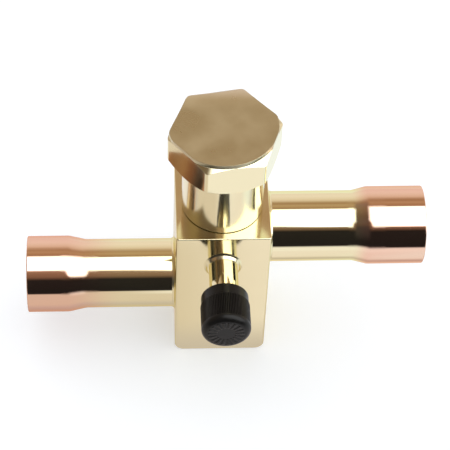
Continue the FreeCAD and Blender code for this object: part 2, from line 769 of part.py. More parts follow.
def core_spring():
    """The small coil spring round the pin, between the barrel's end and the collar."""
    wire = "core_wire_radius"
    coil_radius = "(core_cavity_radius - core_wire_radius - core_spring_clearance)"
    foot = f"({SPRING_FOOT} + {wire})"
    rise = f"({COLLAR_FOOT} - {wire} - {foot})"
    path = doc.addObject("Part::Helix", "spring_path")
    path.setExpression("Radius", bound(coil_radius))
    path.setExpression("Height", bound(rise))
    path.setExpression("Pitch", bound(f"{rise} / core_spring_turns"))
    section = doc.addObject("Part::Circle", "spring_section")
    section.setExpression("Radius", bound(wire))
    section.Placement = FreeCAD.Placement(FreeCAD.Vector(), TURNS["front"])
    section.setExpression("Placement.Base.x", bound(coil_radius))
    coil = doc.addObject("Part::Sweep", "core_spring")
    coil.Label = "core_spring"
    coil.Sections = [section]
    coil.Spine = (path, ["Edge1"])
    coil.Solid = True
    coil.Frenet = True
    place(coil, ("0", f"{FRONT_FACE} - {foot}", PORT_AXIS), "front")
    pieces.append(coil)


def access_cap():
    """The moulded cap of the access port, ribbed for the fingers."""
    body = new_body("access_cap", AT_FRONT_FACE, "front")
    shoulder = "(access_cap_radius - access_cap_shoulder_inset)"
    ribs_start = f"({ACCESS_CAP_RIM} + access_cap_shoulder_length)"
    blank = turned(body, "cap_blank", [
        (ACCESS_CAP_BORE, ACCESS_CAP_RIM),
        (shoulder, ACCESS_CAP_RIM),
        (shoulder, ribs_start),
        ("access_cap_radius", f"{ribs_start} + access_cap_shoulder_inset"),
        ("access_cap_radius", ACCESS_CAP_END),
        ("0", ACCESS_CAP_END),
        ("0", ACCESS_CAP_FLOOR),
        (ACCESS_CAP_BORE, ACCESS_CAP_FLOOR),
    ])
    doc.recompute()
    rim, end = amount(ACCESS_CAP_RIM), amount(ACCESS_CAP_END)
    shoulder_edge = edges_at(blank, lambda edge: is_circle(edge, amount(shoulder), rim))
    softened = fillet(body, "shoulder_rounding", blank, shoulder_edge, "access_cap_shoulder_radius")
    doc.recompute()
    outer_edge = edges_at(softened, lambda edge: is_circle(edge, amount("access_cap_radius"), end))
    fillet(body, "end_rounding", softened, outer_edge, "access_cap_end_radius")

    groove = new_sketch(body, "rib_groove_outline", "XY_Plane", z=ribs_start)
    surface = "access_cap_radius + access_rib_groove_depth"
    floor = "access_cap_radius - access_rib_groove_depth"
    add_outline(groove, [
        (surface, "access_rib_groove_width"),
        (floor, "0"),
        (surface, "-access_rib_groove_width"),
    ])
    length = f"{ACCESS_CAP_END} - {ribs_start} - access_rib_end_gap"
    cut = extrude(body, "Pocket", "rib_groove", groove, length, reverse=True)
    ribs = body.newObject("PartDesign::PolarPattern", "ribs")
    ribs.Originals = [cut]
    ribs.Axis = (groove, ["N_Axis"])
    ribs.Angle = 360
    ribs.setExpression("Occurrences", bound("access_rib_count"))
    body.Tip = ribs


def build_valve():
    """Every piece of the valve, from the block outwards."""
    valve_body()
    tube("upper_tube", "right", UPPER_AXIS, "upper_tube_reach",
         "upper_swage_length", "upper_taper_length")
    tube("lower_tube", "left", "lower_axis_height", "lower_tube_reach",
         "lower_swage_length", "lower_taper_length")
    braze_ring("upper_braze_ring", "right", UPPER_AXIS)
    braze_ring("lower_braze_ring", "left", "lower_axis_height")
    ball()
    seat("outlet_seat", "right")
    seat("support_seat", "left")
    backup_place = "-seat_back_offset - backup_ring_section / 2"
    round_ring("seat_backup_ring", "backup_ring_radius", "backup_ring_section",
               (backup_place, "0", UPPER_AXIS), "right")
    seat_retainer()
    stem()
    stem_ring_radius = f"{JOURNAL_RADIUS} - stem_ring_section / 2"
    for label, rise in (("lower_stem_ring", "lower_ring_rise"), ("upper_stem_ring", "upper_ring_rise")):
        round_ring(label, stem_ring_radius, "stem_ring_section", ("0", "0", f"{JOURNAL_FOOT} + {rise}"))
    washer_outside = "gland_bore_radius - fit_clearance"
    ring("lower_thrust_washer", "stem_bore_radius", washer_outside, "thrust_washer_thickness",
         ("0", "0", LEDGE))
    ring("upper_thrust_washer", "stem_top_radius + stem_top_clearance", washer_outside,
         "thrust_washer_thickness", ("0", "0", SHOULDER_TOP))
    gland_nut()
    stop_pin()
    ring("seal_cap_gasket", "neck_radius + cap_thread_clearance", "cap_skirt_radius - cap_gasket_inset",
         "cap_gasket_thickness", ("0", "0", "block_height"))
    seal_cap()
    access_fitting()
    access_braze_ring()
    core_body()
    core_seal()
    core_pin()
    ring("core_pin_seal", "core_pin_radius", "core_pin_head_radius", "core_pin_seal_thickness",
         ("0", f"{FRONT_FACE} - {PIN_HEAD_TOP}", PORT_AXIS), "front")
    core_spring()
    access_cap()
    ring("access_cap_gasket", "0", f"{ACCESS_CAP_BORE} - access_gasket_inset", "access_gasket_thickness",
         ("0", f"{FRONT_FACE} - {ACCESS_GASKET_FOOT}", PORT_AXIS), "front")


def write_pieces():
    """Check every object, then write each piece to its own file."""
    doc.recompute()
    for thing in doc.Objects:
        if {"Invalid", "Error"} & set(thing.State):
            raise RuntimeError(f"{thing.Label} failed: {thing.State}")
    for piece in pieces:
        if piece.Shape.isNull() or not piece.Shape.isValid():
            raise RuntimeError(f"{piece.Label} has no valid shape")
    os.makedirs("parts", exist_ok=True)
    for piece in pieces:
        piece.Shape.exportStep(f"parts/{piece.Label}.step")
        print(piece.Label, len(piece.Shape.Solids), round(piece.Shape.Volume, 2))


build_valve()
write_pieces()
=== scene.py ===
import json
import math

import bpy
from mathutils import Matrix, Vector


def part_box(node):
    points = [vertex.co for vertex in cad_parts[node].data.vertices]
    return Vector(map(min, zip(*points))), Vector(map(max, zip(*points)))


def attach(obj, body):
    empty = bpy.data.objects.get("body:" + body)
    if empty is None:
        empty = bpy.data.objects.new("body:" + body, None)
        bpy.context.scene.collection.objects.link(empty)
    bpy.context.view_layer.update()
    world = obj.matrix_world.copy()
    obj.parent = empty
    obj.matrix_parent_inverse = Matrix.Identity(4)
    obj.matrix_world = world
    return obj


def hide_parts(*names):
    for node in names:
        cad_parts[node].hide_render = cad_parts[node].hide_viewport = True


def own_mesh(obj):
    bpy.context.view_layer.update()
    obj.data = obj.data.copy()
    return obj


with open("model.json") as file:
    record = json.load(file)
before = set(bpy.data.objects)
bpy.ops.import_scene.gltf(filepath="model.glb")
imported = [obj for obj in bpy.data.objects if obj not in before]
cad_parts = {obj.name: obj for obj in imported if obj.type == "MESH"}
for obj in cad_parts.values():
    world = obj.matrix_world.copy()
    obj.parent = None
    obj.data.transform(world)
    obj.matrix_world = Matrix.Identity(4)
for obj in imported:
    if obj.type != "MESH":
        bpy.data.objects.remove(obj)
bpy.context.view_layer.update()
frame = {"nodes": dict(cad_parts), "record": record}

MM = 0.001

# Places on the valve that the materials follow, read from the pieces themselves
BLOCK_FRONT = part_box("valve_body")[0].y
BLOCK_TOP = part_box("seal_cap_gasket")[0].z
CAP_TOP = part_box("seal_cap")[1].z
FITTING_LOW, FITTING_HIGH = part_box("access_fitting")
PORT_HEIGHT = (FITTING_LOW.z + FITTING_HIGH.z) / 2
BLACK_CAP_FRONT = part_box("access_cap")[0].y

# The photograph's camera, fitted to the valve's corners and tube ends: it looks down from in front
CAMERA_ELEVATION = math.radians(50.660)
CAMERA_AZIMUTH = math.radians(4.510)
CAMERA_ROLL = math.radians(2.786)
CAMERA_DISTANCE = 570.36 * MM
AIM_RIGHT = 0.837 * MM
AIM_UP = -7.264 * MM
AIM_HEIGHT = 57.5 * MM
LENS_PER_WIDTH = 1837.02 / 450
SENSOR_WIDTH = 36.0

# The room that the polished metal mirrors, as the photograph shows it. Each entry is an angle in
# degrees from the front horizon over the top to the back, and the colour that lies there.
HALF_TURN = 180
DARK_FRONT = (0.018, 0.016, 0.016)
ROOM = [
    (0, DARK_FRONT),
    (32, (0.020, 0.017, 0.016)),
    (36, (0.10, 0.065, 0.045)),
    (42, (0.24, 0.15, 0.10)),
    (50, (0.29, 0.18, 0.12)),
    (60, (0.40, 0.27, 0.19)),
    (107, (0.39, 0.28, 0.18)),
    (112, (0.43, 0.27, 0.15)),
    (120, (0.53, 0.37, 0.22)),
    (128, (0.40, 0.25, 0.14)),
    (133, (0.49, 0.34, 0.22)),
    (141, (0.77, 0.63, 0.51)),
    (150, (0.86, 0.75, 0.66)),
    (162, (0.93, 0.83, 0.79)),
    (180, (0.92, 0.83, 0.84)),
]

# The same for the left side of the room, and for its far left, which the cap's left flat mirrors
# by way of the lower tube. Behind, the two are alike. A blend says where one part of the room turns
# into the next, as how far to the right a direction points.
LEFT_ROOM_BEHIND = [
    (128, (0.38, 0.24, 0.14)),
    (141, (0.77, 0.63, 0.51)),
    (162, (0.93, 0.83, 0.79)),
    (180, (0.92, 0.83, 0.84)),
]
LEFT_ROOM = [
    (0, DARK_FRONT),
    (20, (0.045, 0.038, 0.036)),
    (45, (0.075, 0.055, 0.050)),
    (51, (0.13, 0.085, 0.060)),
    (60, (0.14, 0.10, 0.080)),
    (78, (0.16, 0.11, 0.070)),
    (104, (0.26, 0.18, 0.11)),
    (119, (0.29, 0.20, 0.15)),
] + LEFT_ROOM_BEHIND
LEFT_ROOM_BLEND = (-0.22, -0.10)
FAR_LEFT_ROOM = [
    (0, DARK_FRONT),
    (20, (0.09, 0.085, 0.08)),
    (43, (0.25, 0.145, 0.085)),
    (50, (0.27, 0.16, 0.095)),
    (71, (0.40, 0.30, 0.18)),
    (94, (0.34, 0.26, 0.17)),
    (108, (0.30, 0.21, 0.12)),
] + LEFT_ROOM_BEHIND
FAR_LEFT_BLEND = (-0.65, -0.62)

# A softbox hangs over the middle and the right of that room. Each entry of its two edges is how far
# to the right a direction points, and the angle of the edge there: the front edge runs lower
# towards the right. The blur of the edges is in degrees.
SOFTBOX = (2.6, 2.6, 2.6)
SOFTBOX_FRONT = [(0.0, 61), (0.10, 46), (0.40, 42), (0.55, 34), (0.80, 13)]
SOFTBOX_BACK = [(0.25, 105.5), (0.55, 112)]
SOFTBOX_BLUR = 2.5

# What everything but the polished metal sees of the room
WHITE = (1.0, 1.0, 1.0)

# The floor that the camera sees: white paper that glows a little, so that shadows on it stay soft
FLOOR_SIZE = 3.0
FLOOR_MATT = (0.80, 0.825, 0.86)
FLOOR_GLOW = 0.29

# The floor that the metal mirrors: a table of painted light and shade in patches, darker on the
# left and lighter to the right. Each pair of places is where a patch begins and where it is full,
# across the table or along it from front to back.
FLOOR_LEFT = (0.77, 0.68, 0.61)
FLOOR_RIGHT = (0.95, 0.88, 0.88)
RIGHT_ACROSS = (-20 * MM, 20 * MM)
FLOOR_FRONT = (1.00, 0.97, 0.98)
FRONT_ALONG = (-55 * MM, -80 * MM)
FRONT_ACROSS = (-35 * MM, -5 * MM)
# A painted pool of light on the table: its colour, the way it grows, and where it fades in
FLOOR_LIGHT_POOL = (0.97, 1.02, 1.04)
LIGHT_POOL_WAY = (1.0, 0.5, 0.0)
LIGHT_POOL_FADE = (20 * MM, 50 * MM)
FLOOR_BACK = (0.93, 0.90, 0.95)
BACK_ALONG = (0.0, 40 * MM)
BACK_ACROSS = (20 * MM, -20 * MM)
# A painted shadow on the table just before the block's foot, and where it begins and ends
FLOOR_FOOT_SHADOW = (0.66, 0.60, 0.62)
BEFORE_FOOT = (BLOCK_FRONT - 14 * MM, BLOCK_FRONT)
BEHIND_FOOT = (0.0, BLOCK_FRONT)
FLOOR_BEYOND = DARK_FRONT
TABLE_ALONG = (-154 * MM, -104 * MM)

# The painted shadow of the lower tube on the table: its two ends, and how soft they are
FLOOR_TUBE_SHADOW = (0.25, 0.18, 0.08)
TUBE_SHADOW_ALONG = (0.0, 23 * MM, 5 * MM)
TUBE_SHADOW_ACROSS = (-74 * MM, -20 * MM, 8 * MM)

BRASS = (0.896, 0.831, 0.565)
SATIN_BRASS = (0.59, 0.53, 0.34)
# Lighter brass for random patches and for painted light on the cap's satin top
PATCHY_AND_LIT_BRASS = (0.74, 0.68, 0.47)
# A painted highlight at the cap's rear rim
RIM_HIGHLIGHT_BRASS = (0.97, 0.94, 0.82)
CORNER_BRASS = (0.44, 0.37, 0.20)
COPPER = (0.888, 0.617, 0.479)
BLACK_PLASTIC = (0.006, 0.0055, 0.005)
PLASTIC_IOR = 1.38
PLASTIC_SHEEN = 0.4
PLASTIC_ROUGHNESS = (0.28, 0.40)

# Fine unevenness: how many patches a metre, the part of the noise's range that counts, and how far
# the roughness of a finish wanders, as shares of its own value
WAVES_SCALE = 60
WAVES_DETAIL = 2.0
WAVES_DEPTH = 0.02 * MM
CLOUD_SCALE = 90
TUBE_RUB_SCALE = 120
TUBE_RUB_STRETCH = (0.15, 1, 1)
RUB_SCALE = 180
METAL_SCALE = 400
MATT_SCALE = 600
GRAIN_SCALE = 900
GRAIN_DEPTH = 0.01 * MM
NOISE_SPAN = (0.3, 0.7)
POLISH_SPREAD = (0.7, 1.4)
METAL_SPREAD = (0.8, 1.2)
MATT_SPREAD = (0.9, 1.1)

# How many looks around a point go into the softening of an edge near it
BEVEL_SAMPLES = 4

# The seal cap's finish: satin over its top and the lip round it, which reaches lower behind a line
# across the cap; polished flats; and a turned skirt that draws reflections out round its axis
SATIN_DEPTH = 1.3 * MM
SATIN_DEPTH_BEHIND = 2.2 * MM
SATIN_FADE = 0.2 * MM
BEHIND_WAY = (-0.2, 1.0, 0.0)
BEHIND_FADE = (-1 * MM, 0.5 * MM)
SKIRT_TOP = BLOCK_TOP + 21.9 * MM
SKIRT_FADE = 0.2 * MM
SKIRT_DRAW = 0.9
SKIRT_DRAW_TURN = 0.25
SKIRT_ROUGHER = 0.07
CAP_POLISH = (0.05, 0.09)
CAP_SATIN = (0.26, 0.36)
CAP_EDGE = 0.15 * MM

# Where the satin is lighter: in patches at random, with painted light towards the rear and on the
# lip in front, and a painted highlight at the rear rim. Behind, below the top, it is darker, but
# for the corners far from the axis.
REAR_LIGHT_ALONG = (6 * MM, 15 * MM)
REAR_HIGHLIGHT_ALONG = (11 * MM, 16 * MM)
PATCH_SPAN = (0.4, 0.7)
PATCH_SHARE = 0.6
LIT_LIP_DEPTH = (0.05 * MM, 0.2 * MM)
BELOW_TOP_DEPTH = (0.1 * MM, 0.4 * MM)
CORNER_FADE = (15.3 * MM, 17.6 * MM)

# The real cap's top was turned off its hexagon's centre, towards the back and left: the circle's
# radius and centre. The hexagon that it cuts: half its width over flats, its rounded corners and
# how far it is turned. Then the lip and the slope that the turning leaves, and the worn rear edge.
TURNED_RADIUS = 16.75 * MM
TURNED_CENTRE = Vector((-0.6 * MM, 1.5 * MM, 0))
HALF_FLATS = 15.35 * MM
CORNER_REACH = 17.493 * MM
CORNER_ROUND = math.radians(2.5)
HEXAGON_TURN = math.radians(9.8)
SIXTH_TURN = math.radians(60)
LIP_HEIGHT = 1.15 * MM
LIP_DRAFT = 0.15 * MM
TURNED_SLOPE = 0.5052
REAR_WEAR = 0.65 * MM

# How near to the cap's top or slope a point of its mesh has to lie to be moved. Then how far up the
# lip and the slope face: more than a flat and less than the level top, and the lip less than half.
POINT_TOLERANCE = 0.01 * MM
SLOPE_TOLERANCE = 0.02 * MM
TILT_LOW, TILT_HIGH = 0.05, 0.95
LIP_TILT = 0.5

# Where the tubes turn from yellow to copper, where they widen, and how softly
COPPER_RIGHT = (40.5 * MM, 46 * MM)
COPPER_LEFT = (-30 * MM, -50 * MM)
TUBE_POLISH = (0.04, 0.09)
SWAGE = (39 * MM, 51 * MM, 2 * MM)
SWAGE_SOFTNESS = 1.6 * MM

# Threads, drawn as ridges on the plain cylinders: radius, first and last place along the axis, and
# pitch. A ridge fades in just below that radius.
NECK_THREAD = (8.4 * MM, BLOCK_TOP + 1.5 * MM, BLOCK_TOP + 17.0 * MM, 1.5 * MM)
FLARE_THREAD = (5.1 * MM, FITTING_LOW.y + 1.8 * MM, FITTING_LOW.y + 11.0 * MM, 1.27 * MM)
THREAD_DEPTH = 2.2 * MM
THREAD_FADE = 0.1 * MM

# The ring of ticks on the black cap's end: its inner and outer radius and how soft they are, the
# share of each step that a tick fades in over, and the places where the end face begins
TICK_RING = (2.9 * MM, 5.5 * MM, 0.3 * MM)
TICK_COUNT = 18
TICK_DEPTH = 1.4 * MM
TICK_FADE = (0.15, 0.35)
TICK_FACE = (BLACK_CAP_FRONT + 0.8 * MM, BLACK_CAP_FRONT + 0.4 * MM)


class Tree:
    """Short ways to add shader nodes to a node tree and join them."""

    def __init__(self, tree):
        self.tree = tree

    def add(self, kind, **inputs):
        """A node of this kind, with these inputs."""
        return self.join(self.tree.nodes.new(kind), **inputs)

    def join(self, node, **inputs):
        """Set a node's inputs by name, each to a number, a colour or another node's output."""
        for name, value in inputs.items():
            self.feed(node.inputs[name.replace("_", " ")], value)
        return node

    def feed(self, socket, value):
        """Join an output to a socket, or set the socket's own value."""
        if isinstance(value, bpy.types.NodeSocket):
            self.tree.links.new(value, socket)
        else:
            socket.default_value = value

    def math(self, operation, a, b=0.0):
        """One step of arithmetic."""
        node = self.add("ShaderNodeMath")
        node.operation = operation
        self.feed(node.inputs[0], a)
        self.feed(node.inputs[1], b)
        return node.outputs[0]

    def times(self, a, b):
        """Two numbers multiplied."""
        return self.math("MULTIPLY", a, b)

    def dot(self, vector, weights):
        """How far a vector goes along the given one."""
        node = self.add("ShaderNodeVectorMath")
        node.operation = "DOT_PRODUCT"
        self.feed(node.inputs[0], vector)
        self.feed(node.inputs[1], weights)
        return node.outputs["Value"]

    def step(self, value, start, end):
        """0 on start's side, 1 on end's side and a soft rise between them."""
        node = self.add("ShaderNodeMapRange", Value=value, From_Min=start, From_Max=end)
        node.interpolation_type = "SMOOTHSTEP"
        return node.outputs[0]

    def within(self, value, low, high, blur):
        """1 between low and high, 0 outside them, with soft ends."""
        above = self.step(value, low - blur / 2, low + blur / 2)
        below = self.step(value, high + blur / 2, high - blur / 2)
        return self.times(above, below)

    def polar(self, a, b):
        """How far two coordinates lie from their axis, and how far round it in turns."""
        squares = self.math("ADD", self.times(a, a), self.times(b, b))
        turns = self.math("DIVIDE", self.math("ARCTAN2", a, b), 2 * math.pi)
        return self.math("SQRT", squares), turns

    def scaled(self, value, low, high, to_low, to_high):
        """A value moved from one range to another, kept inside it."""
        node = self.add("ShaderNodeMapRange", Value=value, From_Min=low, From_Max=high,
                        To_Min=to_low, To_Max=to_high)
        return node.outputs[0]

    def ramp(self, share, stops):
        """A colour read off a row of stops, each a share from 0 to 1 and a colour."""
        node = self.add("ShaderNodeValToRGB", Fac=share)
        elements = node.color_ramp.elements
        elements.remove(elements[-1])
        for i, (at, colour) in enumerate(stops):
            stop = elements[0] if i == 0 else elements.new(at)
            stop.position = at
            stop.color = (*colour, 1)
        return node.outputs["Color"]

    def blend(self, share, a, b):
        """Two colours mixed by a share from 0 to 1."""
        node = self.add("ShaderNodeMix")
        node.data_type = "RGBA"
        self.feed(node.inputs["Factor"], share)
        sockets = [s for s in node.inputs if s.type == "RGBA"]
        for socket, colour in zip(sockets, (a, b)):
            value = colour if isinstance(colour, bpy.types.NodeSocket) else (*colour, 1)
            self.feed(socket, value)
        return [s for s in node.outputs if s.type == "RGBA"][0]

    def mix_shaders(self, share, a, b):
        """Two shaders mixed by a share from 0 to 1."""
        node = self.add("ShaderNodeMixShader")
        for socket, value in zip(node.inputs, (share, a, b)):
            self.feed(socket, value)
        return node.outputs[0]

    def parts(self, vector):
        """The three parts of a vector."""
        return self.add("ShaderNodeSeparateXYZ", Vector=vector).outputs

    def noise(self, vector, scale, detail=3.0):
        """Cloudy noise."""
        node = self.add("ShaderNodeTexNoise", Vector=vector, Scale=scale, Detail=detail)
        return node.outputs["Fac"]

    def bump(self, height, distance, **over):
        """A surface raised by a height between 0 and 1, over another one if its Normal is given."""
        node = self.add("ShaderNodeBump", Height=height, Distance=distance, Strength=1.0, **over)
        return node.outputs["Normal"]

    def bevel(self, radius):
        """Softly rounded edges."""
        node = self.add("ShaderNodeBevel", Radius=radius)
        node.samples = BEVEL_SAMPLES
        return node.outputs["Normal"]


def new_material(name):
    """A material, its tree, its principled shader and the piece's own coordinates."""
    material = bpy.data.materials.new(name)
    material.use_nodes = True
    tree = Tree(material.node_tree)
    shader = material.node_tree.nodes["Principled BSDF"]
    place = tree.add("ShaderNodeTexCoord").outputs["Object"]
    return material, tree, shader, place


def set_metal(tree, shader, colour):
    """Metal that keeps its own colour at its edges too."""
    tree.join(shader, Metallic=1.0, Base_Color=(*colour, 1), Specular_Tint=(*colour, 1))


def roughen(tree, shader, noise, low, high):
    """Roughness that wanders between two values as the noise does."""
    tree.join(shader, Roughness=tree.scaled(noise, *NOISE_SPAN, low, high))


def roughen_by_share(tree, shader, noise, roughness, spread):
    """Roughness that wanders between two shares of its own value."""
    low, high = spread
    roughen(tree, shader, noise, roughness * low, roughness * high)


def hand_polish(tree, place, edge):
    """The normals of a polished surface: softly broken edges and faint waves."""
    waves = tree.noise(place, WAVES_SCALE, WAVES_DETAIL)
    return tree.bump(waves, WAVES_DEPTH, Normal=tree.bevel(edge))


def polished_brass(name, roughness, edge):
    """Polished brass with faint hand-polishing unevenness and softly broken edges."""
    material, tree, shader, place = new_material(name)
    set_metal(tree, shader, BRASS)
    roughen_by_share(tree, shader, tree.noise(place, RUB_SCALE), roughness, POLISH_SPREAD)
    tree.join(shader, Normal=hand_polish(tree, place, edge))
    return material


def add_relief(material, relief, distance):
    """Raise a relief on a material's surface: relief gives its height from the place."""
    tree = Tree(material.node_tree)
    shader = material.node_tree.nodes["Principled BSDF"]
    normal = shader.inputs["Normal"].links[0].from_socket
    x, y, z = tree.parts(tree.add("ShaderNodeTexCoord").outputs["Object"])
    tree.join(shader, Normal=tree.bump(relief(tree, x, y, z), distance, Normal=normal))


def thread_relief(tree, along, a, b, thread):
    """Ridges that wind round an axis: along it, and the two coordinates across it."""
    radius, first, last, pitch = thread
    out, turns = tree.polar(a, b)
    wound = tree.math("ADD", tree.math("DIVIDE", along, pitch), turns)
    ridge = tree.math("PINGPONG", wound, 0.5)
    outside = tree.step(out, radius - THREAD_FADE, radius)
    there = tree.times(outside, tree.within(along, first, last, pitch))
    return tree.times(ridge, there)


def neck_relief(tree, x, y, z):
    """The neck's thread, hidden by the seal cap."""
    return thread_relief(tree, z, x, y, NECK_THREAD)


def flare_relief(tree, x, y, z):
    """The access fitting's thread, hidden by the black cap."""
    return thread_relief(tree, y, x, tree.math("SUBTRACT", z, PORT_HEIGHT), FLARE_THREAD)


def tick_relief(tree, x, y, z):
    """A ring of plain ticks on the black cap's end."""
    out, turns = tree.polar(x, tree.math("SUBTRACT", z, PORT_HEIGHT))
    tick = tree.step(tree.math("PINGPONG", tree.times(turns, TICK_COUNT), 0.5), *TICK_FADE)
    ring = tree.times(tree.within(out, *TICK_RING), tree.step(y, *TICK_FACE))
    return tree.times(tick, ring)


def block_brass():
    """The block: polished, with its threaded neck."""
    material = polished_brass("block_brass", roughness=0.12, edge=0.1 * MM)
    add_relief(material, neck_relief, THREAD_DEPTH)
    return material


def fitting_brass():
    """Turned brass with its flare thread."""
    material = polished_brass("fitting_brass", roughness=0.07, edge=0.08 * MM)
    add_relief(material, flare_relief, THREAD_DEPTH)
    return material


def patchy_and_lit_satin(tree, y, depth, behind, cloud):
    """The satin top's colour: lighter in patches, painted light to the rear and on its lip,
    and a painted highlight at its rear rim.
    """
    # Painted light on the lip in front
    lit_front_lip = tree.times(tree.step(depth, *LIT_LIP_DEPTH), tree.math("SUBTRACT", 1.0, behind))
    patches = tree.scaled(cloud, *PATCH_SPAN, 0.0, PATCH_SHARE)
    # Lighter in random patches, and painted light towards the rear
    patchy_and_lit = tree.math("ADD", tree.step(y, *REAR_LIGHT_ALONG), patches)
    patchy_and_lit = tree.math("MINIMUM", tree.math("ADD", patchy_and_lit, lit_front_lip), 1.0)
    top = tree.blend(patchy_and_lit, SATIN_BRASS, PATCHY_AND_LIT_BRASS)
    # A painted highlight at the rear rim
    return tree.blend(tree.step(y, *REAR_HIGHLIGHT_ALONG), top, RIM_HIGHLIGHT_BRASS)


def cap_colour(tree, place, depth, satin, behind, cloud):
    """The cap's colour: brass, darker where satin, with painted light and highlight there."""
    x, y, _ = tree.parts(place)
    out, _ = tree.polar(x, y)
    corner = tree.blend(tree.step(out, *CORNER_FADE), CORNER_BRASS, BRASS)
    below_top = tree.times(behind, tree.step(depth, *BELOW_TOP_DEPTH))
    satin_colour = tree.blend(below_top, patchy_and_lit_satin(tree, y, depth, behind, cloud), corner)
    return tree.blend(satin, BRASS, satin_colour)


def draw_skirt(tree, shader, skirt):
    """Draw the skirt's reflections out round the cap's axis, as turning does."""
    tangent = tree.add("ShaderNodeTangent")
    tangent.direction_type = "RADIAL"
    tangent.axis = "Z"
    tree.join(shader, Tangent=tangent.outputs[0], Anisotropic_Rotation=SKIRT_DRAW_TURN,
              Anisotropic=tree.times(skirt, SKIRT_DRAW))


def cap_brass():
    """The seal cap: polished flats, a turned skirt, and a satin top that reaches lower behind."""
    material, tree, shader, place = new_material("cap_brass")
    height = tree.parts(place)["Z"]
    depth = tree.math("SUBTRACT", CAP_TOP, height)
    behind = tree.step(tree.dot(place, BEHIND_WAY), *BEHIND_FADE)
    reach = tree.scaled(behind, 0, 1, SATIN_DEPTH, SATIN_DEPTH_BEHIND)
    satin = tree.step(tree.math("SUBTRACT", reach, depth), 0, SATIN_FADE)
    skirt = tree.step(height, SKIRT_TOP, SKIRT_TOP - SKIRT_FADE)
    cloud = tree.noise(place, CLOUD_SCALE)
    rub = tree.scaled(tree.noise(place, RUB_SCALE), *NOISE_SPAN, *CAP_POLISH)
    polished = tree.math("ADD", rub, tree.times(skirt, SKIRT_ROUGHER))
    brushed = tree.scaled(cloud, *NOISE_SPAN, *CAP_SATIN)
    rougher = tree.times(satin, tree.math("SUBTRACT", brushed, polished))
    tree.join(shader, Metallic=1.0, Roughness=tree.math("ADD", polished, rougher),
              Base_Color=cap_colour(tree, place, depth, satin, behind, cloud),
              Normal=hand_polish(tree, place, CAP_EDGE))
    draw_skirt(tree, shader, skirt)
    return material


def tube_copper():
    """Tube that is copper at its swaged ends and yellow nearer the block."""
    material, tree, shader, place = new_material("tube_copper")
    along = tree.parts(place)["X"]
    end = tree.math("MAXIMUM", tree.step(along, *COPPER_RIGHT), tree.step(along, *COPPER_LEFT))
    colour = tree.blend(end, BRASS, COPPER)
    stretched = tree.add("ShaderNodeMapping", Vector=place, Scale=TUBE_RUB_STRETCH).outputs[0]
    roughen(tree, shader, tree.noise(stretched, TUBE_RUB_SCALE), *TUBE_POLISH)
    swage = tree.within(tree.math("ABSOLUTE", along), *SWAGE)
    tree.join(shader, Metallic=1.0, Base_Color=colour, Specular_Tint=colour,
              Normal=tree.bevel(tree.times(swage, SWAGE_SOFTNESS)))
    return material


def plain_metal(name, colour, roughness):
    """Metal inside the valve."""
    material, tree, shader, place = new_material(name)
    set_metal(tree, shader, colour)
    roughen_by_share(tree, shader, tree.noise(place, METAL_SCALE), roughness, METAL_SPREAD)
    return material


def matt(name, colour, roughness):
    """Rubber or polymer inside the valve."""
    material, tree, shader, place = new_material(name)
    tree.join(shader, Base_Color=(*colour, 1))
    roughen_by_share(tree, shader, tree.noise(place, MATT_SCALE), roughness, MATT_SPREAD)
    return material


def black_plastic():
    """Moulded satin black plastic, with ticks on its end."""
    material, tree, shader, place = new_material("black_plastic")
    grain = tree.noise(place, GRAIN_SCALE)
    tree.join(shader, Base_Color=(*BLACK_PLASTIC, 1), IOR=PLASTIC_IOR,
              Specular_IOR_Level=PLASTIC_SHEEN, Normal=tree.bump(grain, GRAIN_DEPTH))
    roughen(tree, shader, grain, *PLASTIC_ROUGHNESS)
    add_relief(material, tick_relief, TICK_DEPTH)
    return material


MATERIALS = {
    "block_brass": block_brass(),
    "cap_brass": cap_brass(),
    "fitting_brass": fitting_brass(),
    "tube_copper": tube_copper(),
    "braze_alloy": polished_brass("braze_alloy", roughness=0.2, edge=0.05 * MM),
    "ball_chrome": plain_metal("ball_chrome", colour=(0.6, 0.6, 0.62), roughness=0.08),
    "ptfe": matt("ptfe", colour=(0.85, 0.85, 0.82), roughness=0.5),
    "seal_rubber": matt("seal_rubber", colour=(0.02, 0.02, 0.02), roughness=0.6),
    "steel": plain_metal("steel", colour=(0.55, 0.55, 0.56), roughness=0.25),
    "black_plastic": black_plastic(),
}


def dress_frame():
    """Give every CAD node the material of its own slot."""
    for entry in frame["record"]["subparts"]:
        node = frame["nodes"][entry["node"]]
        node.data.materials.clear()
        node.data.materials.append(MATERIALS[entry["material_slot"]])


def add_object(name, data):
    """An object with this data, in the scene."""
    item = bpy.data.objects.new(name, data)
    bpy.context.scene.collection.objects.link(item)
    return item


def shorten_spring():
    """A copy of the valve core's spring, which takes the original's place on the root."""
    spring = add_object("core_spring_coil", frame["nodes"]["core_spring"].data.copy())
    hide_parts("core_spring")
    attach(spring, "root")
    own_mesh(spring)


def hexagon_reach(direction):
    """How far the cap's hexagon goes from its axis in a direction, and where that side faces."""
    side = math.floor((direction - HEXAGON_TURN) / SIXTH_TURN)
    facing = HEXAGON_TURN + (side + 0.5) * SIXTH_TURN
    from_corner = SIXTH_TURN / 2 - abs(direction - facing)
    if from_corner > CORNER_ROUND:
        return HALF_FLATS / math.cos(direction - facing), facing
    round_end = HALF_FLATS / math.cos(SIXTH_TURN / 2 - CORNER_ROUND)
    return CORNER_REACH - (CORNER_REACH - round_end) * (from_corner / CORNER_ROUND) ** 2, facing


def turned_reach(direction):
    """How far the off-centre circle goes from the cap's axis in a direction."""
    along = TURNED_CENTRE.x * math.cos(direction) + TURNED_CENTRE.y * math.sin(direction)
    return along + math.sqrt(TURNED_RADIUS ** 2 - TURNED_CENTRE.length_squared + along ** 2)


